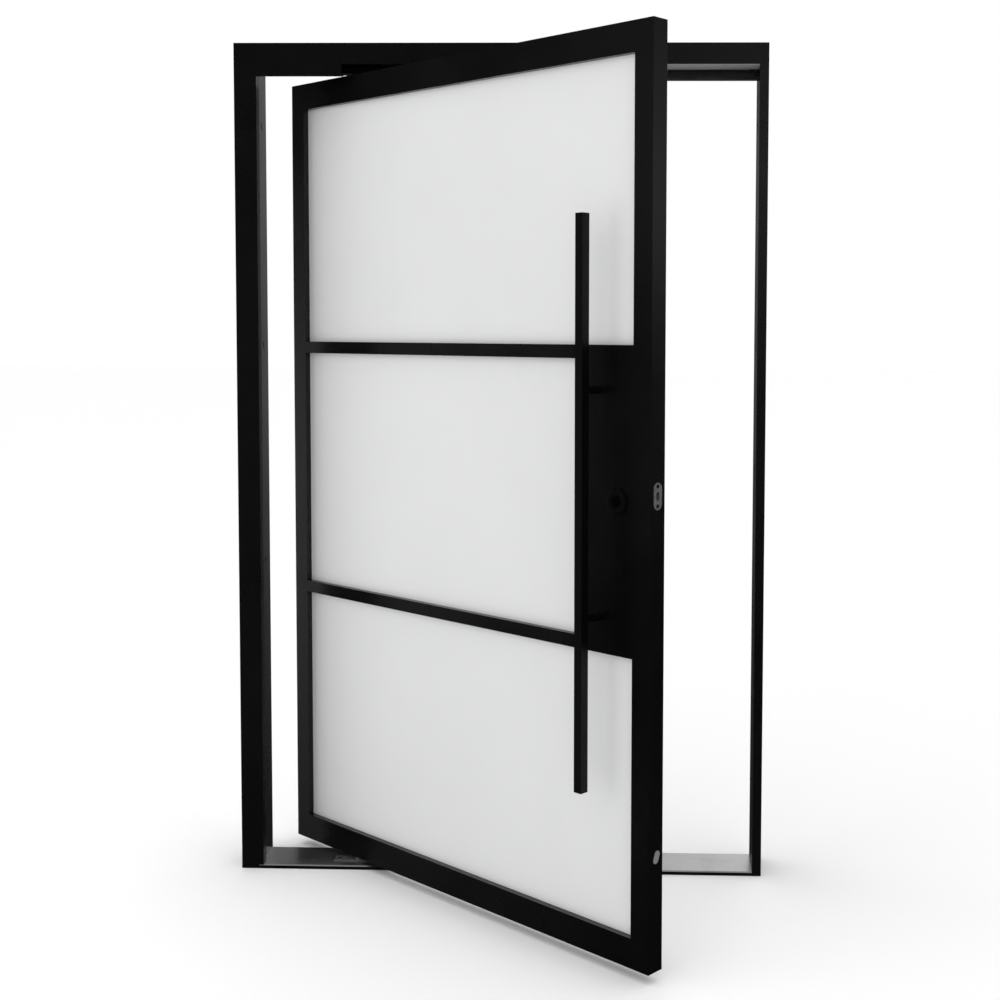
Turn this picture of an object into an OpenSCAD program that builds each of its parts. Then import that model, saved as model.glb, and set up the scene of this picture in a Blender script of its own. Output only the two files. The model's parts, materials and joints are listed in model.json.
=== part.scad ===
// Offset-pivot glass entrance door in its frame: a framed leaf with three frosted lites, a solid
// lock panel, long pull bars and a round-ended deadbolt, hung on two pivots.
// +Z is up, +X runs from the hinge jamb to the lock jamb, and the front of the frame faces -Y.
// The origin is the middle of the threshold's underside.

/* [Frame] */
// Overall width of the frame
frame_w = 1525; // [1250:1:1900]
// Overall height of the frame
frame_h = 2400; // [2000:1:2900]
// Depth of the frame from front to back
frame_d = 144; // [130:1:180]
// Face width of the hinge jamb
hinge_face = 50; // [40:1:70]
// Face width of the lock jamb
lock_face = 26; // [26:1:60]
// Face height of the head
head_face = 60; // [50:1:80]
// Height of the threshold
sill_h = 12; // [12:1:15]
// Wall of the frame's hollow sections
frame_wall = 3; // [2.5:0.5:4]
// Lap of the hinge jamb's stop over the closed leaf
jamb_lap = 3; // [2:0.5:5]
// Lap of the head's stops over the closed leaf
head_lap = 4; // [3:0.5:8]
// Depth of the two front stops
front_stop_d = 24; // [20:1:30]
// Depth of the rear stop of the head
rear_stop_d = 20; // [15:1:30]
// Clearance of the head's stops beside the leaf at right angles
stop_clear = 5; // [4:1:30]

/* [Leaf] */
// Gap between the leaf and the hinge jamb
hinge_gap = 11; // [10:0.5:12]
// Gap between the leaf and the lock jamb
lock_gap = 5; // [4:0.5:7]
// Height of the leaf's underside above the floor
leaf_z = 28; // [28:1:34]
// Gap between the leaf and the head
head_gap = 26; // [22:1:27]
// Thickness of the leaf
leaf_t = 50; // [46:1:60]
// Distance of the pivot axis from the leaf's hinge edge
pivot_offset = 278; // [200:1:340]
// Angle by which the leaf stands open
open_angle = 40; // [0:1:90]
// Face width of the stiles, glass cover included
stile_face = 58; // [50:1:80]
// Face height of the rails, glass cover included
rail_face = 75; // [65:1:100]
// Face height of the glazing bars
bar_face = 34; // [32:1:44]
// Width of the cover that laps over the glass
cover_w = 12; // [10:0.5:14]
// Depth of the glass behind the leaf's face
recess = 15; // [10:0.5:18]
// Wall of the leaf's hollow sections
leaf_wall = 3; // [2:0.5:4]

/* [Glazing] */
// Thickness of the laminated glass
glass_t = 10; // [8:0.5:14]
// Clearance round each glass
glass_gap = 3; // [2:0.5:4]
// Thickness of the glazing gaskets
gasket_t = 1.5; // [1:0.5:2.5]
// Width of the lock panel, from the middle glass to the leaf's lock edge
panel_w = 233; // [200:1:500]
// Width of the upright between the middle glass and the lock panel
upright_w = 60; // [50:1:70]
// Thickness of the lock panel's skins
skin_t = 3; // [2:0.5:4]

/* [Pull bars] */
// Width and depth of the square pull bars
bar_s = 24; // [20:1:32]
// Length of the pull bars
bar_l = 1410; // [800:1:1600]
// How far the pull bars' middle lies below the middle of the leaf
bar_drop = 11; // [-35:1:35]
// Clear space between the pull bars and the leaf
bar_stand = 45; // [35:1:60]
// Inset of the posts from the height of the middle glass
post_inset = 65; // [50:1:150]
// Diameter of the posts
post_d = 18; // [14:1:22]

/* [Pivots] */
// Diameter of the top pivot pin
top_pin_d = 16; // [12:1:18]
// Diameter of the bottom spindle
spindle_d = 20; // [16:1:24]
// Radial running clearance of the pivots
run_gap = 0.05; // [0.02:0.01:0.08]
// Length of the pivot's plate and block
plate_l = 150; // [120:1:170]
// Width of the pivot's plate and block
plate_w = 34; // [34:1:40]
// Thickness of the bottom pivot's plate
plate_t = 4; // [3:0.5:5]
// Thickness of the top pivot's block under the head
top_block_t = 20; // [8:1:21]

/* [Lock] */
// Distance of the cylinder from the leaf's lock edge
backset = 106; // [90:1:110]
// Height of the bolt above the cylinder
bolt_rise = 19; // [18:0.5:21]
// Height of the faceplate
faceplate_h = 66; // [60:1:80]
// Width of the faceplate
faceplate_w = 30; // [28:1:36]
// Height of the bolt
bolt_h = 20; // [16:0.5:22]
// Width of the bolt
bolt_w = 10; // [7:0.5:11]
// Radius of the crank pin that throws the bolt
crank_r = 13; // [11:0.5:14]
// Diameter of the roses
rose_d = 60; // [54:1:64]

/* [Hidden] */

$fn = 48;
black = [0.055, 0.055, 0.06];
grey = [0.62, 0.62, 0.63];
far = 1;  // overshoot of cutting shapes

// frame faces
frame_left = -frame_w / 2;
frame_right = frame_w / 2;
front = -frame_d / 2;
back = frame_d / 2;
jamb_in = frame_left + hinge_face;
lock_in = frame_right - lock_face;
soffit = frame_h - head_face;

// leaf and its pivot
leaf_w = lock_in - jamb_in - hinge_gap - lock_gap;
leaf_h = soffit - head_gap - leaf_z;
jamb_stop_w = hinge_gap + jamb_lap;
head_stop_h = head_gap + head_lap;
seal_t = 3;         // room for a seal between a stop and the leaf
seal_clear = 0.3;   // gap that a seal leaves at the closed leaf
pivot_x = jamb_in + hinge_gap + pivot_offset;
pivot_y = front + front_stop_d + seal_t + leaf_t / 2;
rear_stop_y = pivot_y + leaf_t / 2 + seal_t;
front_stop_end = pivot_x - leaf_t / 2 - stop_clear;
rear_stop_start = pivot_x + leaf_t / 2 + stop_clear;
strip_start = pivot_x + 165;
leaf_front = -leaf_t / 2;
leaf_back = leaf_t / 2;

// leaf sections
stile_tube = stile_face - cover_w;
rail_tube = rail_face - cover_w;
web = bar_face - 2 * cover_w;
lite_h = (leaf_h - 2 * rail_face - 2 * bar_face) / 3;
lower_z = rail_face + lite_h + bar_face / 2;
upper_z = leaf_h - lower_z;
panel_low = lower_z + bar_face / 2;
panel_high = upper_z - bar_face / 2;
panel_back_low = lower_z + web / 2;
panel_back_high = upper_z - web / 2;
drain_d = 6;        // drain holes of the stiles
panel_end = leaf_w - stile_tube;
panel_x = leaf_w - panel_w;
upright_x = panel_x + cover_w;
panel_skin_x = upright_x + upright_w;
glass_front = leaf_front + recess + gasket_t;
bead_y = glass_front + glass_t + gasket_t;
bead_chamfer = 2;
bead_joint = 0.2;   // gap where two beads meet
block_l = 60;       // length of a setting block
block_inset = 180;  // distance of the setting blocks from the glass corners

// pull bars
bar_x = panel_skin_x - bar_s / 2;
bar_mid = leaf_h / 2 - bar_drop;
bar_wall = 2;
stud_d = 8;
stud_grip = 25;     // depth of a stud in its post
post_z = [for (s = [1, -1]) bar_mid + s * (lite_h / 2 - post_inset)];

// pivots
pin_grip = 36;      // depth of the pivots in the leaf
bush_h = 40;        // height of the blocks that hold them
bush_l = 90;
foot_l = 60;
foot_w = 30;
side_clear = 0.2;   // clearance of blocks in their tubes
housing_h = 40;
housing_w = 56;
plate_screw_x = plate_l / 2 - 15;
plate_screw_d = 5;
plate_screw_grip = 6;   // depth of the screws beyond the plate
collar_d = spindle_d + 8;
washer_clear = 0.1;
block_screw_x = foot_l / 2 + 8;

// frame fixings
fixing_d = 9;
access_d = 18;
fixing_y = 35;
fixing_low = 260;   // lowest fixing above the floor
fixing_high = 220;  // highest fixing below the frame's top
fixing_z = [for (i = [0:3]) fixing_low + i * (frame_h - fixing_low - fixing_high) / 3];
frame_screw_y = frame_d / 2 - 27;
frame_screw_d = 5;
screw_access_d = 14;
frame_screw_z = [sill_h / 2, soffit + head_face / 2];
cleat_l = 40;

// lock
bolt_z = leaf_h / 2 + bolt_rise;
cylinder_z = leaf_h / 2;
cylinder_x = leaf_w - backset;
faceplate_t = 3;
faceplate_pitch = faceplate_h - 18;
plate_hole_d = 3.4;
fit = 0.15;         // clearance of the bolt in its guides
case_w = 24;
case_wall = 2;
case_h = 110;
case_tail = 28;     // case beyond the cylinder
case_l = backset + case_tail - faceplate_t;
crank_pin_d = 6;
yoke_gap = 0.6;
spindle_r = 5;
plug_d = 16;
cylinder_d = 28;
rose_t = 8;
turn_l = 22;
cam_t = 5;
yoke_t = 5;
case_mid = (bolt_z + cylinder_z) / 2;
strike_w = 30;
strike_h = 90;
strike_t = 2;
strike_pitch = 70;
strike_room = 2;    // room round the thrown bolt

// ---------- helpers ----------

// A block given by its low and high corners
module span(lo, hi) {
    translate(lo) cube(hi - lo);
}

// A rectangular tube along Z with corners at lo and hi
module tube_z(lo, hi, wall) {
    difference() {
        span(lo, hi);
        span([lo[0] + wall, lo[1] + wall, lo[2] - far], [hi[0] - wall, hi[1] - wall, hi[2] + far]);
    }
}

// The same tube closed at both ends, with a drain hole of diameter d through each end
module capped_tube_z(lo, hi, wall, d) {
    difference() {
        span(lo, hi);
        span(lo + wall * [1, 1, 1], hi - wall * [1, 1, 1]);
        rod_z([(lo[0] + hi[0]) / 2, (lo[1] + hi[1]) / 2, lo[2] - far], d, hi[2] - lo[2] + 2 * far);
    }
}

// A rectangular tube along X with corners at lo and hi
module tube_x(lo, hi, wall) {
    difference() {
        span(lo, hi);
        span([lo[0] - far, lo[1] + wall, lo[2] + wall], [hi[0] + far, hi[1] - wall, hi[2] - wall]);
    }
}

// A round bar along X, Y or Z from point p over length l
module rod_x(p, d, l) { translate(p) rotate([0, 90, 0]) cylinder(d = d, h = l); }
module rod_y(p, d, l) { translate(p) rotate([-90, 0, 0]) cylinder(d = d, h = l); }
module rod_z(p, d, l) { translate(p) cylinder(d = d, h = l); }

// A round-ended plate in the YZ plane, from x = 0 to x = t, centred on Y and Z
module pill_x(w, h, t) {
    translate([0, -w / 2, -(h - w) / 2]) cube([t, w, h - w]);
    for (s = [-1, 1]) rod_x([0, 0, s * (h - w) / 2], w, t);
}

// Places a leaf piece: x from the hinge edge, y from the leaf's middle, z from its underside
module on_leaf() {
    translate([pivot_x, pivot_y, leaf_z]) rotate([0, 0, -open_angle])
        translate([-pivot_offset, 0, 0]) children();
}

// A countersunk screw along Z with its head's top at z = 0
module screw(d, head_d, head_h, l) {
    translate([0, 0, -head_h]) cylinder(d1 = d, d2 = head_d, h = head_h);
    translate([0, 0, -l]) cylinder(d = d, h = l - head_h);
}

// ---------- frame ----------

// A jamb from x = 0 to x = w with its outer wall at x = 0: a hollow section closed at the top, with
// holes for the wall fixings and the frame screws
module jamb(w) {
    difference() {
        span([0, front, 0], [w, back, frame_h]);
        span([frame_wall, front + frame_wall, -far],
             [w - frame_wall, back - frame_wall, frame_h - frame_wall]);
        for (z = fixing_z) {
            rod_x([-far, fixing_y, z], fixing_d, frame_wall + 2 * far);
            rod_x([w - frame_wall - far, fixing_y, z], access_d, frame_wall + 2 * far);
        }
        for (z = frame_screw_z) for (s = [-1, 1]) {
            rod_x([-far, s * frame_screw_y, z], screw_access_d, frame_wall + 2 * far);
            rod_x([w - frame_wall - far, s * frame_screw_y, z], frame_screw_d + 1, frame_wall + 2 * far);
        }
    }
}

module hinge_jamb() {
    color(black) translate([frame_left, 0, 0]) jamb(hinge_face);
}

module lock_jamb() {
    color(black) difference() {
        translate([frame_right, 0, 0]) mirror([1, 0, 0]) jamb(lock_face);
        translate([lock_in, pivot_y, leaf_z + bolt_z]) {
            translate([-far, 0, 0]) pill_x(strike_w + 2 * fit, strike_h + 2 * fit, strike_t + far);
            translate([-far, 0, 0])
                pill_x(bolt_w + 2 * strike_room, bolt_h + 2 * strike_room, frame_wall + 2 * far);
            for (s = [-1, 1]) rod_x([0, 0, s * strike_pitch / 2], 4, frame_wall + far);
        }
    }
}

module head() {
    color(black) difference() {
        tube_x([jamb_in, front, soffit], [lock_in, back, frame_h], frame_wall);
        rod_z([pivot_x, pivot_y, soffit - far], top_pin_d + 2, frame_wall + 2 * far);
        for (s = [-1, 1])
            rod_z([pivot_x + s * plate_screw_x, pivot_y, soffit - far], plate_screw_d, frame_wall + 2 * far);
    }
}

module threshold() {
    // ribs stay full where the frame screws and the pivot plate's screws go
    rib = 6;
    chambers = [[front + rib, -frame_screw_y - rib], [-frame_screw_y + rib, pivot_y - rib],
                [pivot_y + rib, frame_screw_y - rib], [frame_screw_y + rib, back - rib]];
    color(grey) difference() {
        translate([jamb_in, 0, 0]) rotate([90, 0, 90]) linear_extrude(lock_in - jamb_in)
            difference() {
                polygon([[front, 0], [back, 0], [back, sill_h - 3], [back - 3, sill_h],
                         [front + 3, sill_h], [front, sill_h - 3]]);
                for (c = chambers) translate([c[0], 3]) square([c[1] - c[0], sill_h - 6]);
            }
        for (s = [-1, 1])
            rod_z([pivot_x + s * plate_screw_x, pivot_y, sill_h - 8], plate_screw_d, 8 + far);
        for (s = [-1, 1]) for (x = [jamb_in - far, lock_in - 26])
            rod_x([x, s * frame_screw_y, sill_h / 2], frame_screw_d, 26 + far);
    }
}

module jamb_stop() {
    color(black) tube_z([jamb_in, front, sill_h], [jamb_in + jamb_stop_w, front + front_stop_d, soffit], 2);
}

module head_stop_front() {
    color(black) tube_x([jamb_in + jamb_stop_w, front, soffit - head_stop_h],
                        [front_stop_end, front + front_stop_d, soffit], 2);
}

module head_stop_rear() {
    color(black) tube_x([rear_stop_start, rear_stop_y, soffit - head_stop_h],
                        [lock_in, rear_stop_y + rear_stop_d, soffit], 2);
}

module soffit_strip() {
    strip_t = 1.5;
    color(grey) span([strip_start, front + 1, soffit - strip_t], [lock_in, rear_stop_y, soffit]);
}

// Seals stand on the stops and leave seal_clear at the closed leaf
module seal_jamb() {
    y = front + front_stop_d;
    color("black") span([jamb_in + jamb_stop_w - 8, y, sill_h + 4],
                        [jamb_in + jamb_stop_w, y + seal_t - seal_clear, soffit - head_stop_h]);
}

module seal_head_front() {
    y = front + front_stop_d;
    z = soffit - head_stop_h;
    color("black") span([jamb_in + jamb_stop_w, y, z], [front_stop_end, y + seal_t - seal_clear, z + 8]);
}

module seal_head_rear() {
    z = soffit - head_stop_h;
    color("black") span([rear_stop_start, rear_stop_y - seal_t + seal_clear, z],
                        [lock_in, rear_stop_y, z + 8]);
}

module head_cleats() {
    y = frame_d / 2 - frame_wall - side_clear;
    z0 = soffit + frame_wall + side_clear;
    z1 = frame_h - frame_wall - side_clear;
    color("dimgray") for (x = [jamb_in, lock_in - cleat_l]) difference() {
        span([x, -y, z0], [x + cleat_l, y, z1]);
        for (s = [-1, 1])
            rod_x([x - far, s * frame_screw_y, frame_screw_z[1]], frame_screw_d, cleat_l + 2 * far);
    }
}

// Each screw's head bears on the inner wall of its jamb, inside the hollow
module frame_screws() {
    grip = frame_wall + 25;
    head_h = 4;
    head_d = 11;
    color("silver") for (z = frame_screw_z) for (s = [-1, 1]) {
        rod_x([jamb_in - frame_wall - head_h, s * frame_screw_y, z], head_d, head_h);
        rod_x([jamb_in - frame_wall, s * frame_screw_y, z], frame_screw_d, grip);
        rod_x([lock_in + frame_wall, s * frame_screw_y, z], head_d, head_h);
        rod_x([lock_in + frame_wall - grip, s * frame_screw_y, z], frame_screw_d, grip);
    }
}

module fixing_cap() {
    rod_x([0, 0, 0], access_d + 4, 0.8);
    rod_x([-5, 0, 0], access_d - 0.4, 5.4);
}

module fixing_caps() {
    color("black") for (z = fixing_z) {
        translate([jamb_in, fixing_y, z]) fixing_cap();
        translate([lock_in, fixing_y, z]) mirror([1, 0, 0]) fixing_cap();
    }
}

module strike_plate() {
    color(black) translate([lock_in, pivot_y, leaf_z + bolt_z]) difference() {
        pill_x(strike_w, strike_h, strike_t);
        translate([-far, 0, 0])
            pill_x(bolt_w + 2 * strike_room, bolt_h + 2 * strike_room, strike_t + 2 * far);
        for (s = [-1, 1]) translate([strike_t, 0, s * strike_pitch / 2]) rotate([0, -90, 0])
            cylinder(d1 = 4, d2 = 8, h = strike_t);
    }
}

module strike_screws() {
    color(black) for (s = [-1, 1])
        translate([lock_in, pivot_y, leaf_z + bolt_z + s * strike_pitch / 2]) rotate([0, -90, 0])
            screw(3.8, 7.6, strike_t, 14);
}

// ---------- pivots ----------

module top_pivot_housing() {
    z = soffit + frame_wall;
    color("dimgray") difference() {
        span([pivot_x - plate_l / 2, pivot_y - housing_w / 2, z],
             [pivot_x + plate_l / 2, pivot_y + housing_w / 2, z + housing_h]);
        rod_z([pivot_x, pivot_y, z - far], top_pin_d + 2 * run_gap, housing_h + 2 * far);
        for (s = [-1, 1]) rod_z([pivot_x + s * plate_screw_x, pivot_y, z - far], plate_screw_d, 20);
    }
}

module top_pivot_pin() {
    top = soffit + frame_wall + housing_h;
    low = soffit - head_gap - pin_grip;
    color("silver") {
        rod_z([pivot_x, pivot_y, low], top_pin_d, top - low);
        rod_z([pivot_x, pivot_y, top], top_pin_d + 8, 4);
    }
}

// A plate of thickness t from z = 0, screwed on from above
module pivot_plate(t) {
    difference() {
        span([-plate_l / 2, -plate_w / 2, 0], [plate_l / 2, plate_w / 2, t]);
        for (s = [-1, 1]) translate([s * plate_screw_x, 0, 0]) {
            translate([0, 0, -far]) cylinder(d = plate_screw_d, h = t + 2 * far);
            translate([0, 0, t - 3]) cylinder(d1 = plate_screw_d, d2 = 10.4, h = 3);
        }
    }
}

module top_pivot_block() {
    color(grey) translate([pivot_x, pivot_y, soffit]) mirror([0, 0, 1]) difference() {
        pivot_plate(top_block_t);
        translate([0, 0, -far]) cylinder(d = top_pin_d + 2, h = top_block_t + 2 * far);
    }
}

// Plate, collar and spindle are one turned and milled piece
module bottom_pivot_plate() {
    color(grey) translate([pivot_x, pivot_y, sill_h]) {
        pivot_plate(plate_t);
        collar_top = leaf_z - sill_h - 1;
        translate([0, 0, plate_t]) cylinder(d = collar_d, h = collar_top - plate_t);
        translate([0, 0, collar_top]) cylinder(d = spindle_d, h = pin_grip + 1);
    }
}

module pivot_plate_screws() {
    color("silver") for (s = [-1, 1]) {
        translate([pivot_x + s * plate_screw_x, pivot_y, sill_h + plate_t])
            screw(4.8, 10, 3, plate_t + plate_screw_grip);
        translate([pivot_x + s * plate_screw_x, pivot_y, soffit - top_block_t]) mirror([0, 0, 1])
            screw(4.8, 10, 3, top_block_t + plate_screw_grip);
    }
}

module thrust_washer() {
    color("goldenrod") translate([pivot_x, pivot_y, leaf_z - 1]) difference() {
        cylinder(d = collar_d, h = 1 - washer_clear);
        translate([0, 0, -far]) cylinder(d = spindle_d + 4 * run_gap, h = 1 + far);
    }
}

// Block inside a rail with a foot that comes flush through the rail's wall, for the underside
module pivot_block(bore_d) {
    half = leaf_t / 2 - leaf_wall - side_clear;
    difference() {
        union() {
            span([-bush_l / 2, -half, leaf_wall], [bush_l / 2, half, bush_h]);
            span([-foot_l / 2, -foot_w / 2, 0], [foot_l / 2, foot_w / 2, leaf_wall]);
        }
        translate([0, 0, -far]) cylinder(d = bore_d, h = bush_h + 2 * far);
        for (s = [-1, 1]) rod_z([s * block_screw_x, 0, leaf_wall - far], 6, 16 + far);
    }
}

module bottom_pivot_block() {
    color("dimgray") on_leaf() translate([pivot_offset, 0, 0]) pivot_block(spindle_d + 2 * run_gap);
}

module top_pivot_bush() {
    color("dimgray") on_leaf() translate([pivot_offset, 0, leaf_h]) mirror([0, 0, 1])
        pivot_block(top_pin_d + 2 * run_gap);
}

module pivot_block_screws() {
    color("silver") on_leaf() for (s = [-1, 1]) translate([pivot_offset + s * block_screw_x, 0, 0]) {
        mirror([0, 0, 1]) screw(5.8, 9, leaf_wall, 16);
        translate([0, 0, leaf_h]) screw(5.8, 9, leaf_wall, 16);
    }
}

// ---------- leaf members ----------

// Covers of a stile that lap over the glass, from the tube at x = 0 to x = cover_w
module stile_cover(z0, z1) {
    span([0, leaf_front, z0], [cover_w, leaf_front + recess, z1]);
}

module hinge_stile() {
    color(black) on_leaf() {
        capped_tube_z([0, leaf_front, 0], [stile_tube, leaf_back, leaf_h], leaf_wall, drain_d);
        translate([stile_tube, 0, 0]) stile_cover(rail_tube, leaf_h - rail_tube);
    }
}

module lock_stile() {
    slot = case_w + 2 * side_clear;
    color(black) on_leaf() difference() {
        union() {
            capped_tube_z([panel_end, leaf_front, 0], [leaf_w, leaf_back, leaf_h], leaf_wall, drain_d);
            translate([panel_end - cover_w, 0, 0]) {
                stile_cover(rail_tube, lower_z - bar_face / 2);
                stile_cover(upper_z + bar_face / 2, leaf_h - rail_tube);
            }
        }
        span([panel_end - far, -slot / 2, case_mid - case_h / 2 - side_clear],
             [panel_end + leaf_wall + far, slot / 2, case_mid + case_h / 2 + side_clear]);
        translate([leaf_w - leaf_wall - far, 0, bolt_z])
            pill_x(faceplate_w + 2 * fit, faceplate_h + 2 * fit, leaf_wall + 2 * far);
    }
}

// A rail lying at z = 0 with its cover above it
module rail() {
    difference() {
        union() {
            tube_x([stile_tube, leaf_front, 0], [panel_end, leaf_back, rail_tube], leaf_wall);
            span([stile_face, leaf_front, rail_tube],
                 [leaf_w - stile_face, leaf_front + recess, rail_face]);
        }
        span([pivot_offset - foot_l / 2 - side_clear, -foot_w / 2 - side_clear, -far],
             [pivot_offset + foot_l / 2 + side_clear, foot_w / 2 + side_clear, leaf_wall + far]);
        for (s = [-1, 1]) translate([pivot_offset + s * block_screw_x, 0, 0])
            mirror([0, 0, 1]) translate([0, 0, -leaf_wall]) cylinder(d1 = 6.2, d2 = 9.4, h = leaf_wall);
    }
}

module bottom_rail() {
    color(black) on_leaf() rail();
}

module top_rail() {
    color(black) on_leaf() translate([0, 0, leaf_h]) mirror([0, 0, 1]) rail();
}

// A T-shaped glazing bar centred on z = 0
module glazing_bar() {
    span([stile_face, leaf_front, -bar_face / 2], [panel_end, leaf_front + recess, bar_face / 2]);
    span([stile_tube, leaf_front + recess, -web / 2], [panel_end, leaf_back, web / 2]);
}

module upper_bar() {
    color(black) on_leaf() translate([0, 0, upper_z]) glazing_bar();
}

module lower_bar() {
    color(black) on_leaf() translate([0, 0, lower_z]) glazing_bar();
}

module panel_upright() {
    color(black) on_leaf() difference() {
        union() {
            tube_z([upright_x, leaf_front, panel_back_low], [panel_skin_x, leaf_back, panel_back_high],
                   leaf_wall);
            translate([panel_x, 0, 0]) stile_cover(panel_low, panel_high);
        }
        // the ends are notched round the front flanges of the glazing bars
        span([upright_x - far, leaf_front - far, panel_back_low - far],
             [panel_skin_x + far, leaf_front + recess, panel_low]);
        span([upright_x - far, leaf_front - far, panel_high],
             [panel_skin_x + far, leaf_front + recess, panel_back_high + far]);
        for (z = post_z) rod_y([bar_x, leaf_front - far, z], stud_d + 0.4, leaf_t + 2 * far);
    }
}

module lock_panel_front() {
    color(black) on_leaf() difference() {
        span([panel_skin_x, leaf_front, panel_low], [panel_end, leaf_front + skin_t, panel_high]);
        rod_y([cylinder_x, leaf_front - far, cylinder_z], cylinder_d + 0.4, skin_t + 2 * far);
    }
}

module lock_panel_back() {
    color(black) on_leaf() difference() {
        span([panel_skin_x, leaf_back - skin_t, panel_back_low], [panel_end, leaf_back, panel_back_high]);
        rod_y([cylinder_x, leaf_back - skin_t - far, cylinder_z], cylinder_d + 0.4, skin_t + 2 * far);
    }
}

// ---------- glazing: each lite is [x0, z0, x1, z1] of its rebate ----------

rebate_bottom = [stile_tube, rail_tube, panel_end, lower_z - web / 2];
rebate_middle = [stile_tube, lower_z + web / 2, upright_x, upper_z - web / 2];
rebate_top = [stile_tube, upper_z + web / 2, panel_end, leaf_h - rail_tube];

module glass(r) {
    color([0.86, 0.88, 0.88, 0.9]) on_leaf()
        span([r[0] + glass_gap, glass_front, r[1] + glass_gap],
             [r[2] - glass_gap, glass_front + glass_t, r[3] - glass_gap]);
}

// Two gasket frames per glass, one on each face
module gaskets(r) {
    edge = glass_gap;
    color("black") on_leaf() for (y = [glass_front - gasket_t, glass_front + glass_t]) difference() {
        span([r[0] + edge, y, r[1] + edge], [r[2] - edge, y + gasket_t, r[3] - edge]);
        span([r[0] + cover_w, y - far, r[1] + cover_w], [r[2] - cover_w, y + gasket_t + far, r[3] - cover_w]);
    }
}

// A bead's section: x across the cover, y to the back, chamfered towards the glass
module bead_section() {
    d = leaf_back - bead_y;
    polygon([[0, 0], [cover_w, 0], [cover_w, d - bead_chamfer], [cover_w - bead_chamfer, d], [0, d]]);
}

// Four beads that hold a glass from the back: uprights run through, the others lie between them
module beads(r) {
    color(black) on_leaf() translate([0, bead_y, 0]) {
        translate([r[0], 0, r[1]]) linear_extrude(r[3] - r[1]) bead_section();
        translate([r[2], 0, r[1]]) mirror([1, 0, 0]) linear_extrude(r[3] - r[1]) bead_section();
        for (m = [0, 1]) translate([r[0] + cover_w + bead_joint, 0, m == 0 ? r[1] : r[3]])
            mirror([0, 0, m]) rotate([0, 90, 0]) mirror([1, 0, 0])
                linear_extrude(r[2] - r[0] - 2 * cover_w - 2 * bead_joint) bead_section();
    }
}

module glass_top() { glass(rebate_top); }
module glass_middle() { glass(rebate_middle); }
module glass_bottom() { glass(rebate_bottom); }
module gaskets_top() { gaskets(rebate_top); }
module gaskets_middle() { gaskets(rebate_middle); }
module gaskets_bottom() { gaskets(rebate_bottom); }
module beads_top() { beads(rebate_top); }
module beads_middle() { beads(rebate_middle); }
module beads_bottom() { beads(rebate_bottom); }

module setting_blocks() {
    color("dimgray") on_leaf() for (r = [rebate_bottom, rebate_middle, rebate_top])
        for (x = [r[0] + block_inset, r[2] - block_inset - block_l])
            span([x, glass_front, r[1]], [x + block_l, glass_front + glass_t, r[1] + glass_gap]);
}

module bottom_brush() {
    brush_y = collar_d / 2 + 2;
    brush_h = leaf_z - sill_h - plate_t - 1;
    brush_inset = 25;
    color("black") on_leaf()
        span([brush_inset, brush_y, -brush_h], [leaf_w - brush_inset, brush_y + 6, 0]);
}

// Oval cover cap on the lock edge, over the rail's fixing
module edge_cap() {
    cap_y = 2;
    cap_z = 285;
    color(grey) on_leaf() translate([leaf_w, cap_y, cap_z]) rotate([-20, 0, 0]) pill_x(18, 32, 1.5);
}

// ---------- pull bars: side -1 is the front, 1 the back ----------

module pull_bar(side) {
    y0 = leaf_back + bar_stand;
    color(black) on_leaf() mirror([0, side < 0 ? 1 : 0, 0])
        tube_z([bar_x - bar_s / 2, y0, bar_mid - bar_l / 2 + 2],
               [bar_x + bar_s / 2, y0 + bar_s, bar_mid + bar_l / 2 - 2], bar_wall);
}

module pull_bar_front() { pull_bar(-1); }
module pull_bar_back() { pull_bar(1); }

// Plugs with a plate that closes the bar's end and a spigot inside it
module pull_bar_caps() {
    inner = bar_s - 2 * bar_wall - side_clear;
    y = leaf_back + bar_stand + bar_s / 2;
    color(black) on_leaf() for (s = [-1, 1]) for (m = [0, 1])
        translate([bar_x, s * y, bar_mid + (m == 0 ? -1 : 1) * bar_l / 2]) mirror([0, 0, m]) {
            span([-bar_s / 2, -bar_s / 2, 0], [bar_s / 2, bar_s / 2, 2]);
            span([-inner / 2, -inner / 2, 2], [inner / 2, inner / 2, 14]);
        }
}

module handle_posts() {
    color(black) on_leaf() for (m = [0, 1]) for (z = post_z) mirror([0, m, 0]) difference() {
        rod_y([bar_x, leaf_back, z], post_d, bar_stand);
        rod_y([bar_x, leaf_back - far, z], stud_d + 0.2, stud_grip + far + 1);
    }
}

module handle_studs() {
    color("silver") on_leaf() for (z = post_z)
        rod_y([bar_x, leaf_front - stud_grip, z], stud_d, leaf_t + 2 * stud_grip);
}

// ---------- lock ----------

module lock_case() {
    x0 = leaf_w - faceplate_t - case_l;
    x1 = leaf_w - faceplate_t;
    z0 = case_mid - case_h / 2;
    z1 = case_mid + case_h / 2;
    color("silver") on_leaf() difference() {
        span([x0, -case_w / 2, z0], [x1, case_w / 2, z1]);
        span([x0 + case_wall, -case_w / 2 + case_wall, z0 + case_wall],
             [x1 - case_wall, case_w / 2 - case_wall, z1 - case_wall]);
        rod_y([cylinder_x, -case_w / 2 - far, cylinder_z], 2 * spindle_r + 2 * fit, case_w + 2 * far);
        translate([x1 - case_wall - far, 0, bolt_z])
            pill_x(bolt_w + 2 * fit, bolt_h + 2 * fit, case_wall + 2 * far);
        for (s = [-1, 1])
            rod_x([x1 - case_wall - far, 0, bolt_z + s * faceplate_pitch / 2], plate_hole_d,
                  case_wall + 2 * far);
    }
}

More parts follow.
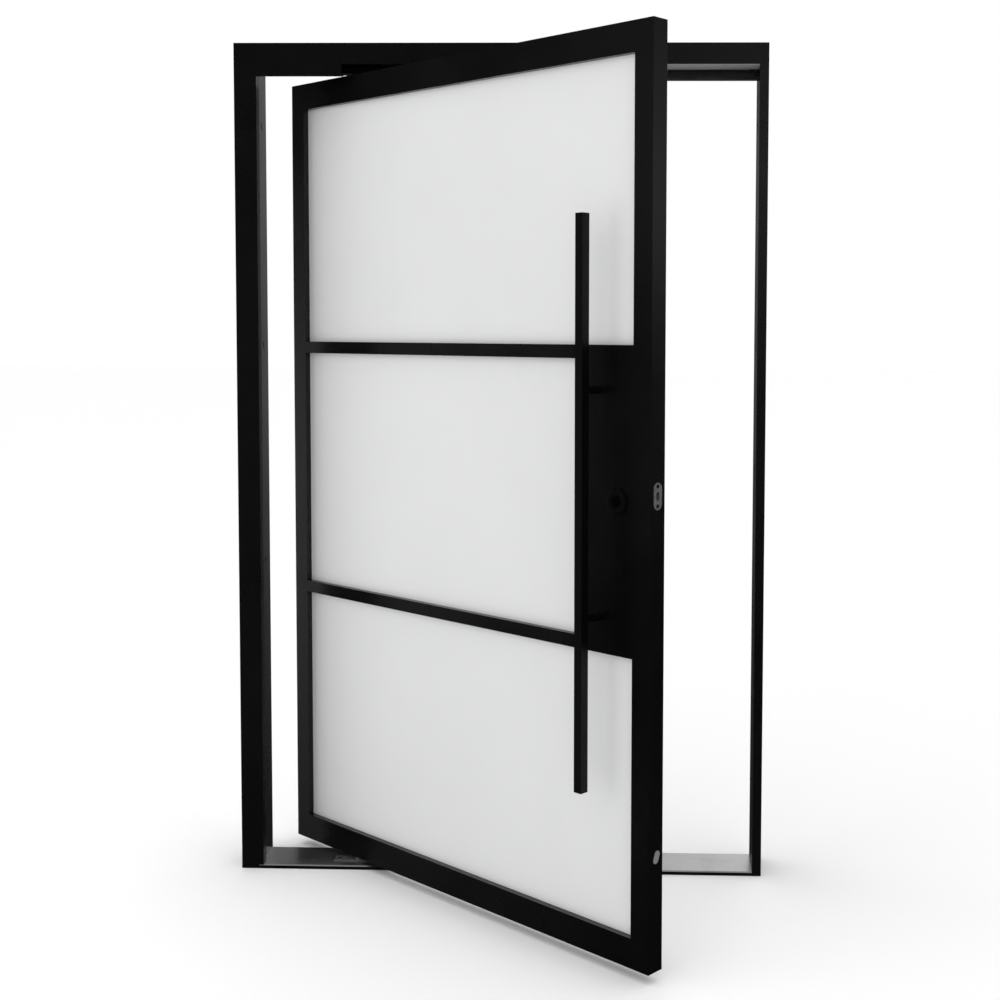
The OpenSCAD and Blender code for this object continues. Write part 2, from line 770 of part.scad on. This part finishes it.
module faceplate() {
    mouth = 0.6;  // room round the bolt
    color(grey) on_leaf() translate([leaf_w - faceplate_t, 0, bolt_z]) difference() {
        pill_x(faceplate_w, faceplate_h, faceplate_t);
        translate([-far, 0, 0]) pill_x(bolt_w + 2 * mouth, bolt_h + 2 * mouth, faceplate_t + 2 * far);
        for (s = [-1, 1]) translate([0, 0, s * faceplate_pitch / 2]) {
            rod_x([-far, 0, 0], plate_hole_d, faceplate_t + 2 * far);
            translate([faceplate_t - 2, 0, 0]) rotate([0, 90, 0])
                cylinder(d1 = plate_hole_d, d2 = 10, h = 2);
        }
    }
}

module faceplate_screws() {
    color("black") on_leaf() for (s = [-1, 1])
        translate([leaf_w, 0, bolt_z + s * faceplate_pitch / 2]) rotate([0, 90, 0]) screw(3.2, 9.6, 2, 12);
}

// The bolt is shown withdrawn. Its tail is a fork, open below, in which the crank pin runs; the
// fork's lower edge clears the spindle.
module lock_bolt() {
    tip = leaf_w - 2;
    pin_x = cylinder_x - crank_r * sin(45);
    tail_x = pin_x - 12;
    slot_w = crank_pin_d + 2 * yoke_gap;
    color("silver") on_leaf() difference() {
        union() {
            translate([pin_x + 12, 0, bolt_z]) pill_x(bolt_w, bolt_h, tip - pin_x - 12);
            span([tail_x, 0, cylinder_z + spindle_r + 1], [pin_x + 14, yoke_t, bolt_z + bolt_h / 2]);
        }
        span([pin_x - slot_w / 2, -far, cylinder_z + spindle_r],
             [pin_x + slot_w / 2, yoke_t + far, cylinder_z + crank_r + crank_pin_d / 2 + yoke_gap]);
    }
}

// Fixed body of the front key cylinder, between the case and the rose's face
module cylinder_body() {
    color("silver") on_leaf() difference() {
        rod_y([cylinder_x, leaf_front - rose_t - 2, cylinder_z], cylinder_d,
              rose_t + 2 + leaf_t / 2 - case_w / 2);
        rod_y([cylinder_x, leaf_front - rose_t - 2 - far, cylinder_z], plug_d + 2 * run_gap,
              rose_t + 2 + leaf_t / 2 - case_w / 2 + 2 * far);
    }
}

// A rose with a rounded edge, standing from y = 0 towards +Y
module rose(bore_d) {
    edge = 3;
    rotate([-90, 0, 0]) rotate_extrude()
        polygon(concat([[bore_d / 2, 0], [rose_d / 2, 0], [rose_d / 2, rose_t - edge]],
                       [for (a = [15:15:90])
                           [rose_d / 2 - edge + edge * cos(a), rose_t - edge + edge * sin(a)]],
                       [[bore_d / 2, rose_t]]));
}

module rose_front() {
    color(black) on_leaf() translate([cylinder_x, leaf_front, cylinder_z]) mirror([0, 1, 0])
        rose(cylinder_d + 0.4);
}

module rose_back() {
    color(black) on_leaf() translate([cylinder_x, leaf_back, cylinder_z]) rose(plug_d + 1);
}

// Key plug, spindle and crank turn as one piece
module lock_spindle() {
    plug_l = rose_t + 2 + leaf_t / 2 - case_w / 2;
    plug_y = leaf_front - rose_t - 2;
    crank_y = -cam_t - 1;
    color("silver") on_leaf() translate([cylinder_x, 0, cylinder_z]) {
        difference() {
            rod_y([0, plug_y, 0], plug_d, plug_l - 0.5);
            span([-1, plug_y - far, -4.5], [1, plug_y + 8, 4.5]);
        }
        rod_y([0, plug_y + plug_l - 1, 0], 2 * spindle_r, leaf_back + rose_t - plug_y - plug_l + 1);
        rotate([0, -45, 0]) {
            rod_y([0, crank_y, 0], 16, cam_t);
            span([-4, crank_y, 0], [4, crank_y + cam_t, crank_r]);
            rod_y([0, crank_y, crank_r], crank_pin_d, cam_t + 1 + yoke_t + 1);
        }
    }
}

module thumbturn() {
    color(black) on_leaf() translate([cylinder_x, leaf_back + rose_t + 0.3, cylinder_z]) difference() {
        union() {
            rod_y([0, 0, 0], 30, 5);
            span([-3.5, 4, -18], [3.5, turn_l, 18]);
        }
        rod_y([0, -far, 0], 2 * spindle_r, 4);
    }
}

hinge_jamb();
lock_jamb();
head();
threshold();
jamb_stop();
head_stop_front();
head_stop_rear();
soffit_strip();
seal_jamb();
seal_head_front();
seal_head_rear();
head_cleats();
frame_screws();
fixing_caps();
strike_plate();
strike_screws();
top_pivot_housing();
top_pivot_pin();
top_pivot_block();
bottom_pivot_plate();
pivot_plate_screws();
thrust_washer();
hinge_stile();
lock_stile();
top_rail();
bottom_rail();
upper_bar();
lower_bar();
panel_upright();
lock_panel_front();
lock_panel_back();
glass_top();
glass_middle();
glass_bottom();
beads_top();
beads_middle();
beads_bottom();
gaskets_top();
gaskets_middle();
gaskets_bottom();
setting_blocks();
top_pivot_bush();
bottom_pivot_block();
pivot_block_screws();
bottom_brush();
edge_cap();
pull_bar_front();
pull_bar_back();
pull_bar_caps();
handle_posts();
handle_studs();
lock_case();
faceplate();
faceplate_screws();
lock_bolt();
cylinder_body();
rose_front();
rose_back();
lock_spindle();
thumbturn();
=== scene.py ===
import json
import math

import bpy
from mathutils import Matrix, Vector

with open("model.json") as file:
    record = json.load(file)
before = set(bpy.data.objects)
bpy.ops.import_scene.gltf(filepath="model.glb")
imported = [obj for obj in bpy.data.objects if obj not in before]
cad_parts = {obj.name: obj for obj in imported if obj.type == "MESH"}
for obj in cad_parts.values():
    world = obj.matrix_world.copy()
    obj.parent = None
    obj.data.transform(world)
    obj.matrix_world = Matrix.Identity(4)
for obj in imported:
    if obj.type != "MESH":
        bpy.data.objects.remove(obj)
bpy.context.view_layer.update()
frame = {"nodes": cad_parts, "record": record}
nodes = frame["nodes"]

MM = 0.001

# ---------- shader building ----------


def feed(tree, source, socket):
    """Set a socket to a number, or link another node's output to it."""
    if isinstance(source, (int, float)):
        socket.default_value = source
    else:
        tree.links.new(source, socket)


def maths(tree, op, a, b):
    n = tree.nodes.new("ShaderNodeMath")
    n.operation = op
    feed(tree, a, n.inputs[0])
    feed(tree, b, n.inputs[1])
    return n.outputs[0]


class Shader:
    """A material with its nodes, laid out as they are made."""

    def __init__(self, name):
        self.mat = bpy.data.materials.new(name)
        self.mat.use_nodes = True
        self.tree = self.mat.node_tree
        self.bsdf = self.tree.nodes["Principled BSDF"]

    def node(self, kind, **settings):
        n = self.tree.nodes.new("ShaderNode" + kind)
        for key, value in settings.items():
            if hasattr(n, key):
                setattr(n, key, value)
            else:
                n.inputs[key.replace("_", " ")].default_value = value
        return n

    def place(self, scale):
        """Object coordinates in metres, stretched by scale."""
        if not hasattr(self, "coords"):
            self.coords = self.node("TexCoord").outputs["Object"]
        m = self.node("Mapping", Scale=scale)
        self.tree.links.new(self.coords, m.inputs["Vector"])
        return m.outputs["Vector"]

    def noise(self, scale, detail=3.0, rough=0.55, stretch=(1, 1, 1)):
        n = self.node("TexNoise", Scale=scale, Detail=detail, Roughness=rough)
        self.tree.links.new(self.place(stretch), n.inputs["Vector"])
        return n.outputs["Fac"]

    def remap(self, value, low, high, to_low, to_high):
        n = self.node("MapRange", clamp=True, From_Min=low, From_Max=high, To_Min=to_low, To_Max=to_high)
        self.tree.links.new(value, n.inputs["Value"])
        return n.outputs["Result"]

    def math(self, op, a, b):
        return maths(self.tree, op, a, b)

    def mix(self, fac, a, b):
        """Blend from a to b; either is a colour or another node's output."""
        n = self.node("Mix", data_type="RGBA")
        feed(self.tree, fac, n.inputs["Factor"])
        for key, c in ((6, a), (7, b)):
            if hasattr(c, "links"):
                self.tree.links.new(c, n.inputs[key])
            else:
                n.inputs[key].default_value = (*c, 1)
        return n.outputs[2]

    def bump(self, height, distance, strength=1.0, after=None):
        n = self.node("Bump", Distance=distance, Strength=strength)
        self.tree.links.new(height, n.inputs["Height"])
        if after is not None:
            self.tree.links.new(after, n.inputs["Normal"])
        return n.outputs["Normal"]

    def upward(self):
        """The upward part of the surface normal: 1 on level tops and 0 on upright faces."""
        split = self.node("SeparateXYZ")
        self.tree.links.new(self.node("NewGeometry").outputs["Normal"], split.inputs["Vector"])
        return split.outputs["Z"]

    def set(self, **sockets):
        for key, value in sockets.items():
            socket = self.bsdf.inputs[key.replace("_", " ")]
            if hasattr(value, "links"):
                self.tree.links.new(value, socket)
            else:
                socket.default_value = value
        return self


def scaled(colour, k):
    return tuple(c * k for c in colour)


# ---------- the looks: sizes in metres, noise scales in cycles a metre ----------

DUST = (0.11, 0.11, 0.115)


def coated(name, colour, rough, grain, dust, gloss=0.42):
    """Fine-textured powder coat: orange peel, faint cloudiness and settled dust."""
    s = Shader(name)
    cloud = s.noise(2.3, 4, 0.6)
    fine = s.noise(1500, 2, 0.6)
    peel = s.noise(330, 2, 0.5)
    base = s.mix(s.remap(cloud, 0.35, 0.7, 0, 1), colour, scaled(colour, 1.6))
    specks = s.remap(s.noise(900, 1, 0.4), 0.70, 0.78, 0, dust)
    settled = s.remap(s.upward(), 0.6, 1.0, 0, dust)
    s.set(Base_Color=s.mix(s.math("MAXIMUM", specks, settled), base, DUST),
          Roughness=s.remap(cloud, 0.3, 0.75, rough - 0.05, rough + 0.06),
          Normal=s.bump(fine, 0.02 * MM * grain, after=s.bump(peel, 0.06 * MM * grain)),
          Specular_IOR_Level=gloss)
    return s.mat


def brushed(name, colour, rough, stretch, streak=900, metal=1.0):
    """Satin metal brushed along the axis that stretch makes long; metal below 1 is a matt share."""
    s = Shader(name)
    lines = s.noise(streak, 2, 0.7, stretch)
    cloud = s.noise(14, 3, 0.6)
    base = s.mix(s.remap(lines, 0.3, 0.7, 0, 1), scaled(colour, 0.8), colour)
    base = s.mix(s.remap(cloud, 0.5, 0.75, 0, 0.25), base, scaled(colour, 0.62))
    s.set(Base_Color=base, Metallic=metal, Normal=s.bump(lines, 0.05 * MM, 0.7),
          Roughness=s.math("ADD", s.remap(lines, 0.3, 0.7, rough - 0.06, rough + 0.05),
                           s.remap(cloud, 0.45, 0.8, 0, 0.08)))
    return s.mat


def frosted(name):
    """Acid-etched laminated pane: white and soft, with the etching's fine grain and faint wiping marks."""
    s = Shader(name)
    cloud = s.noise(1.6, 3, 0.55)
    grain = s.noise(2600, 2, 0.6)
    wipe = s.noise(5, 3, 0.6, (1, 1, 0.25))
    base = s.mix(s.remap(cloud, 0.3, 0.7, 0, 1), (0.675, 0.677, 0.680), (0.70, 0.702, 0.705))
    s.set(Base_Color=s.mix(s.remap(wipe, 0.55, 0.8, 0, 0.12), base, (0.60, 0.602, 0.605)),
          Roughness=s.remap(wipe, 0.3, 0.75, 0.36, 0.52), Normal=s.bump(grain, 0.02 * MM),
          Specular_IOR_Level=0.35)
    return s.mat


def rubber(name, colour=(0.014, 0.014, 0.015)):
    """Matt rubber or plastic with a faint bloom."""
    s = Shader(name)
    fine = s.noise(700, 3, 0.6)
    bloom = s.noise(18, 3, 0.6)
    s.set(Base_Color=s.mix(s.remap(bloom, 0.45, 0.8, 0, 0.6), colour, scaled(colour, 2.6)),
          Roughness=s.remap(fine, 0.3, 0.7, 0.62, 0.8), Normal=s.bump(fine, 0.06 * MM, 0.6),
          Specular_IOR_Level=0.3)
    return s.mat


def pile(name):
    """A brush strip's upright hairs."""
    s = Shader(name)
    hair = s.noise(2200, 2, 0.7, (1, 1, 0.06))
    s.set(Base_Color=s.mix(s.remap(hair, 0.3, 0.7, 0, 1), (0.006, 0.006, 0.007), (0.03, 0.03, 0.032)),
          Roughness=0.9, Normal=s.bump(hair, 0.4 * MM, 0.9), Sheen_Weight=0.4, Sheen_Roughness=0.5)
    return s.mat


black_frame = coated("frame_coat", (0.0023, 0.0023, 0.0025), 0.28, 0.6, 0.02)
LOOKS = {
    "frame_black": black_frame,
    "leaf_black": coated("leaf_coat", (0.0019, 0.0019, 0.0021), 0.26, 0.5, 0.02),
    "hardware_black": coated("hardware_coat", (0.0022, 0.0022, 0.0023), 0.36, 0.4, 0.015, 0.15),
    "threshold_metal": brushed("sill_satin", (0.72, 0.72, 0.73), 0.33, (0.02, 1, 1)),
    "frosted_glass": frosted("etched_glass"),
    "black_rubber": rubber("seal_rubber"),
    "black_pile": pile("brush_pile"),
    "zinc_steel": brushed("zinc_plate", (0.55, 0.56, 0.58), 0.38, (1, 1, 0.3), 260),
    "satin_steel": brushed("satin_plate", (0.58, 0.575, 0.57), 0.27, (1, 1, 0.03), metal=0.86),
    "black_steel": brushed("burnished_steel", (0.028, 0.028, 0.030), 0.30, (1, 1, 0.2), 500),
    "black_plastic": rubber("plug_plastic", (0.012, 0.012, 0.013)),
    "brass": brushed("washer_bronze", (0.72, 0.53, 0.24), 0.32, (1, 1, 1)),
}
OWN_LOOKS = {
    "soffit_strip": brushed("strip_anodised", (0.60, 0.60, 0.61), 0.4, (0.02, 1, 1), metal=0.5),
    # the lock bolt gets a much darker steel than the faceplate: painted shade for the bolt set back in the
    # faceplate's opening
    "lock_bolt": brushed("bolt_steel_painted_shade", (0.16, 0.16, 0.165), 0.33, (1, 1, 0.05), metal=0.9),
    "edge_cap": brushed("cap_pearl", (0.38, 0.38, 0.375), 0.4, (1, 1, 1), 300, metal=0.5),
}
for row in frame["record"]["subparts"]:
    look = OWN_LOOKS.get(row["node"], LOOKS[row["material_slot"]])
    nodes[row["node"]].data.materials.clear()
    nodes[row["node"]].data.materials.append(look)

# the threshold's front and back faces are coated like the frame; only its top is bare
sill = nodes["threshold"].data
sill.materials.append(black_frame)
COATED_FACE = 0.9       # a face turned this far to the front or back is coated
for face in sill.polygons:
    if abs(face.normal.y) > COATED_FACE:
        face.material_index = 1

# ---------- small edge radii, in mm, on the pieces whose edges show ----------

EDGE = {
    1.0: "hinge_stile lock_stile top_rail bottom_rail pull_bar_front pull_bar_back",
    0.8: "hinge_jamb lock_jamb head upper_bar lower_bar thumbturn",
    0.7: "panel_upright",
    0.6: "jamb_stop head_stop_front head_stop_rear pull_bar_caps",
    0.5: "threshold lock_panel_front lock_panel_back bottom_pivot_plate top_pivot_block lock_bolt",
    0.4: "edge_cap handle_posts beads_top beads_middle beads_bottom",
    0.3: "faceplate strike_plate",
}
for radius, names in EDGE.items():
    for name in names.split():
        bevel = nodes[name].modifiers.new("edge", "BEVEL")
        bevel.width = radius * MM
        bevel.segments = 2
        bevel.limit_method = "ANGLE"
        bevel.angle_limit = math.radians(40)
        bevel.harden_normals = True

# ---------- stage ----------


def add(name, data):
    obj = bpy.data.objects.new(name, data)
    bpy.context.scene.collection.objects.link(obj)
    return obj


REACH = 60.0        # half the floor's width, in metres
floor_mesh = bpy.data.meshes.new("floor")
corners = [(-REACH, -REACH, 0), (REACH, -REACH, 0), (REACH, REACH, 0), (-REACH, REACH, 0)]
floor_mesh.from_pydata(corners, [], [(0, 1, 2, 3)])
pale = Shader("pale_floor").set(Base_Color=(0.93, 0.93, 0.93, 1), Roughness=0.8, Specular_IOR_Level=0.1)
floor_mesh.materials.append(pale.mat)
floor = add("floor", floor_mesh)
floor.visible_glossy = False

# The studio is white all round for diffuse light and for the background. What the glossy surfaces
# mirror is a darker room: brightest behind the door, with dim sides, and fading towards the floor.
world = bpy.data.worlds.new("studio")
bpy.context.scene.world = world
world.use_nodes = True
tree = world.node_tree


def world_node(kind, **settings):
    n = tree.nodes.new("ShaderNode" + kind)
    for key, value in settings.items():
        setattr(n, key, value)
    return n


def ramp(value, stops):
    """A piecewise linear curve of value, as (place, height) pairs."""
    low, high = stops[0][0], stops[-1][0]
    to_unit = world_node("MapRange", clamp=True)
    feed(tree, low, to_unit.inputs["From Min"])
    feed(tree, high, to_unit.inputs["From Max"])
    feed(tree, value, to_unit.inputs["Value"])
    n = world_node("FloatCurve")
    curve = n.mapping.curves[0]
    while len(curve.points) < len(stops):
        curve.points.new(0.5, 0.5)
    for point, (x, y) in zip(curve.points, stops):
        point.location = ((x - low) / (high - low), y)
        point.handle_type = "VECTOR"
    n.mapping.update()
    feed(tree, to_unit.outputs["Result"], n.inputs["Value"])
    return n.outputs["Value"]


axes = world_node("SeparateXYZ")
feed(tree, world_node("TexCoord").outputs["Generated"], axes.inputs["Vector"])
dx, dy, dz = (axes.outputs[k] for k in "XYZ")


def glow(x_stops, y_stops, z_stops):
    """A soft patch of the room, as the product of one curve for each axis of the direction."""
    patch = ramp(dz, z_stops)
    for value, stops in ((dx, x_stops), (dy, y_stops)):
        if stops:
            patch = maths(tree, "MULTIPLY", patch, ramp(value, stops))
    return patch


room = 0.006        # the darkest part of the room
for patch in (
    # the bright end of the room behind the door, lighter towards its ceiling
    glow([(-0.3, 0.06), (-0.1, 0.35), (0.05, 1), (0.6, 1), (0.85, 0)], [(0, 0), (0.25, 1)],
         [(-0.31, 0.04), (-0.18, 0.13), (0, 0.33), (0.09, 0.46), (0.16, 0.36), (0.3, 0.9)]),
    # a low pale wall on the hinge side
    glow([(-0.9, 1), (-0.3, 0)], [(-0.02, 0), (0.15, 1)],
         [(-0.45, 0.1), (-0.28, 0.4), (-0.15, 0.75), (-0.03, 0.7), (0.04, 0.35), (0.13, 0.03)]),
    # a high panel in front on the hinge side
    glow([(-0.9, 1), (-0.6, 0.1)], [(-0.6, 0.2), (-0.3, 1), (-0.2, 0.9), (-0.13, 0)],
         [(0.02, 0), (0.06, 0.35), (0.1, 0.6), (0.16, 0.4), (0.24, 0.12), (0.5, 0.1)]),
    # a high panel on the lock side
    glow([(0.6, 0), (0.85, 1)], [(-0.5, 0.2), (0, 1), (0.4, 1), (0.6, 0.2)],
         [(-0.2, 0.0), (0, 0.03), (0.06, 0.35), (0.12, 0.75), (0.17, 0.3), (0.22, 0.03)]),
    # a high panel in front on the lock side
    glow([(-0.02, 0), (0.06, 1), (0.3, 1), (0.5, 0)], [(-0.6, 1), (-0.3, 0)],
         [(0.02, 0), (0.06, 0.6), (0.1, 1.4), (0.15, 1.2), (0.19, 0.1)]),
    # the ceiling
    glow(None, None, [(0.5, 0), (0.8, 0.25), (1, 0.35)]),
):
    room = maths(tree, "MAXIMUM", room, patch)
mirror = world_node("Mix", data_type="FLOAT")
feed(tree, world_node("LightPath").outputs["Is Glossy Ray"], mirror.inputs["Factor"])
feed(tree, 1.0, mirror.inputs["A"])
feed(tree, room, mirror.inputs["B"])
background = tree.nodes["Background"]
background.inputs["Color"].default_value = (1, 1, 1, 1)
feed(tree, mirror.outputs["Result"], background.inputs["Strength"])


def soft_light(name, place, aim, wide, high, power):
    """A rectangular light, in metres and watts, that no glossy surface mirrors."""
    data = bpy.data.lights.new(name, "AREA")
    data.shape = "RECTANGLE"
    data.size, data.size_y, data.energy = wide, high, power
    light = add(name, data)
    light.location = place
    light.rotation_mode = "QUATERNION"
    light.rotation_quaternion = (Vector(aim) - Vector(place)).to_track_quat("-Z", "Y")
    light.visible_glossy = False


soft_light("high_front", (-1.4, -2.6, 3.3), (0.1, -0.4, 1.9), 1.6, 1.2, 7)
soft_light("hinge_side", (-1.9, -1.5, 1.2), (-0.55, 0.05, 1.1), 0.8, 2.0, 6)
overhead = bpy.data.lights.new("overhead", "SUN")
overhead.energy, overhead.angle = 0.35, math.radians(50)
add("overhead", overhead).visible_glossy = False

# ---------- camera ----------

SENSOR = 36.0                       # mm
FOCAL = 1.3981                      # focal length as a share of the picture's width
PLACE = Vector((0.4882, -4.0769, 1.5716))
YAW, PITCH, ROLL = -0.0288, math.radians(-3.24), 0.0050
camera_data = bpy.data.cameras.new("camera")
camera_data.sensor_width = SENSOR
camera_data.lens = FOCAL * SENSOR
camera_data.shift_x, camera_data.shift_y = -0.1295, -0.0850
camera_data.clip_start, camera_data.clip_end = 0.1, 200
camera = add("camera", camera_data)
ahead = Vector((math.sin(YAW) * math.cos(PITCH), math.cos(YAW) * math.cos(PITCH), math.sin(PITCH)))
level = ahead.cross(Vector((0, 0, 1))).normalized()
upright = level.cross(ahead)
across = level * math.cos(ROLL) + upright * math.sin(ROLL)
over = upright * math.cos(ROLL) - level * math.sin(ROLL)
camera.matrix_world = Matrix.Translation(PLACE) @ Matrix((across, over, -ahead)).transposed().to_4x4()
bpy.context.scene.camera = camera
bpy.context.scene.view_settings.view_transform = "Standard"
